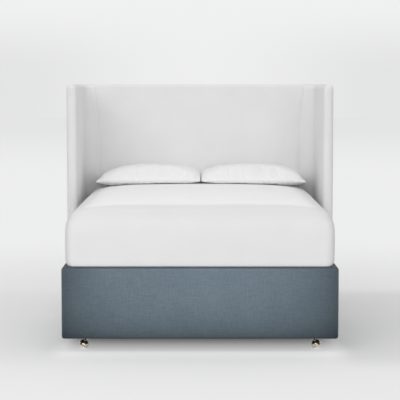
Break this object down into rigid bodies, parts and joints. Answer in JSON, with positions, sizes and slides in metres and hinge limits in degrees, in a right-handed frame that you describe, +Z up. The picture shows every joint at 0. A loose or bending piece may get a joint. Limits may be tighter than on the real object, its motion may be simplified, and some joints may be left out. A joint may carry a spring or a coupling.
{
  "type": "divan bed",
  "caption": "Upholstered divan base on swivelling ball castors, with a tall wraparound headboard, a made-up mattress and pillows.",
  "frame": {"origin": "on the floor, under the middle of the whole bed", "axes": "+X to the right seen from the foot, +Y from the foot towards the headboard, +Z up"},
  "size_m": [1.72, 2.16, 1.52],
  "materials": {
    "blue_cloth": "plain blue-grey woven upholstery cloth",
    "white_cloth": "smooth white woven upholstery cloth",
    "linen": "smooth white cotton",
    "ticking": "white knitted ticking",
    "filling": "soft white filling",
    "foam": "open foam",
    "timber": "planed softwood",
    "board": "hardboard",
    "dust_cloth": "thin black bonded cloth",
    "steel": "zinc plated",
    "polished_brass": "polished pale brass"
  },
  "bodies": {
    "base": {"foot_lower_frame": "timber", "foot_upper_frame": "timber", "foot_posts": "timber", "foot_side_boards": "board", "foot_deck_board": "board", "foot_padding": "foam", "foot_upholstery": "blue_cloth", "foot_dust_cover": "dust_cloth", "head_lower_frame": "timber", "head_upper_frame": "timber", "head_posts": "timber", "head_side_boards": "board", "head_deck_board": "board", "head_padding": "foam", "head_upholstery": "blue_cloth", "head_dust_cover": "dust_cloth", "castor_blocks": "timber", "castor_sockets": "steel", "link_plates": "steel", "wing_straps": "steel", "underside_screws": "steel", "back_frame": "timber", "back_board": "board", "back_padding": "foam", "back_cover": "white_cloth", "back_lining": "white_cloth", "left_wing_frame": "timber", "left_wing_padding": "foam", "left_wing_cover": "white_cloth", "right_wing_frame": "timber", "right_wing_padding": "foam", "right_wing_cover": "white_cloth", "headboard_bolts": "steel"},
    "mattress": {"mattress_core": "foam", "mattress_comfort_layer": "foam", "mattress_ticking": "ticking", "duvet": "linen"},
    "left_pillow": {"left_pillow_insert": "filling", "left_pillow_case": "linen"},
    "right_pillow": {"right_pillow_insert": "filling", "right_pillow_case": "linen"},
    "castor_1_left": {"castor_1_left_hood": "polished_brass"},
    "ball_1_left": {"castor_1_left_ball": "polished_brass"},
    "castor_1_right": {"castor_1_right_hood": "polished_brass"},
    "ball_1_right": {"castor_1_right_ball": "polished_brass"},
    "castor_2_left": {"castor_2_left_hood": "polished_brass"},
    "ball_2_left": {"castor_2_left_ball": "polished_brass"},
    "castor_2_right": {"castor_2_right_hood": "polished_brass"},
    "ball_2_right": {"castor_2_right_ball": "polished_brass"},
    "castor_3_left": {"castor_3_left_hood": "polished_brass"},
    "ball_3_left": {"castor_3_left_ball": "polished_brass"},
    "castor_3_right": {"castor_3_right_hood": "polished_brass"},
    "ball_3_right": {"castor_3_right_ball": "polished_brass"},
    "castor_4_left": {"castor_4_left_hood": "polished_brass"},
    "ball_4_left": {"castor_4_left_ball": "polished_brass"},
    "castor_4_right": {"castor_4_right_hood": "polished_brass"},
    "ball_4_right": {"castor_4_right_ball": "polished_brass"}
  },
  "joints": [
    {"name": "castor_1_left_swivel", "type": "hinge", "parent": "base", "child": "castor_1_left", "pos_m": [-0.656, -0.955, 0.07], "axis": [0, 0, 1], "continuous": true},
    {"name": "ball_1_left_roll", "type": "hinge", "parent": "castor_1_left", "child": "ball_1_left", "pos_m": [-0.67, -0.955, 0.025], "axis": [0, 1, 0], "continuous": true},
    {"name": "castor_1_right_swivel", "type": "hinge", "parent": "base", "child": "castor_1_right", "pos_m": [0.656, -0.955, 0.07], "axis": [0, 0, 1], "continuous": true},
    {"name": "ball_1_right_roll", "type": "hinge", "parent": "castor_1_right", "child": "ball_1_right", "pos_m": [0.67, -0.955, 0.025], "axis": [0, 1, 0], "continuous": true},
    {"name": "castor_2_left_swivel", "type": "hinge", "parent": "base", "child": "castor_2_left", "pos_m": [-0.656, -0.162, 0.07], "axis": [0, 0, 1], "continuous": true},
    {"name": "ball_2_left_roll", "type": "hinge", "parent": "castor_2_left", "child": "ball_2_left", "pos_m": [-0.67, -0.162, 0.025], "axis": [0, 1, 0], "continuous": true},
    {"name": "castor_2_right_swivel", "type": "hinge", "parent": "base", "child": "castor_2_right", "pos_m": [0.656, -0.162, 0.07], "axis": [0, 0, 1], "continuous": true},
    {"name": "ball_2_right_roll", "type": "hinge", "parent": "castor_2_right", "child": "ball_2_right", "pos_m": [0.67, -0.162, 0.025], "axis": [0, 1, 0], "continuous": true},
    {"name": "castor_3_left_swivel", "type": "hinge", "parent": "base", "child": "castor_3_left", "pos_m": [-0.656, 0.09, 0.07], "axis": [0, 0, 1], "continuous": true},
    {"name": "ball_3_left_roll", "type": "hinge", "parent": "castor_3_left", "child": "ball_3_left", "pos_m": [-0.67, 0.09, 0.025], "axis": [0, 1, 0], "continuous": true},
    {"name": "castor_3_right_swivel", "type": "hinge", "parent": "base", "child": "castor_3_right", "pos_m": [0.656, 0.09, 0.07], "axis": [0, 0, 1], "continuous": true},
    {"name": "ball_3_right_roll", "type": "hinge", "parent": "castor_3_right", "child": "ball_3_right", "pos_m": [0.67, 0.09, 0.025], "axis": [0, 1, 0], "continuous": true},
    {"name": "castor_4_left_swivel", "type": "hinge", "parent": "base", "child": "castor_4_left", "pos_m": [-0.656, 0.883, 0.07], "axis": [0, 0, 1], "continuous": true},
    {"name": "ball_4_left_roll", "type": "hinge", "parent": "castor_4_left", "child": "ball_4_left", "pos_m": [-0.67, 0.883, 0.025], "axis": [0, 1, 0], "continuous": true},
    {"name": "castor_4_right_swivel", "type": "hinge", "parent": "base", "child": "castor_4_right", "pos_m": [0.656, 0.883, 0.07], "axis": [0, 0, 1], "continuous": true},
    {"name": "ball_4_right_roll", "type": "hinge", "parent": "castor_4_right", "child": "ball_4_right", "pos_m": [0.67, 0.883, 0.025], "axis": [0, 1, 0], "continuous": true},
    {"name": "mattress_lift", "type": "slide", "parent": "base", "child": "mattress", "axis": [0, 0, 1], "range_m": [0, 0.3]},
    {"name": "left_pillow_lift", "type": "slide", "parent": "mattress", "child": "left_pillow", "axis": [0, 0, 1], "range_m": [0, 0.25]},
    {"name": "right_pillow_lift", "type": "slide", "parent": "mattress", "child": "right_pillow", "axis": [0, 0, 1], "range_m": [0, 0.25]}
  ]
}
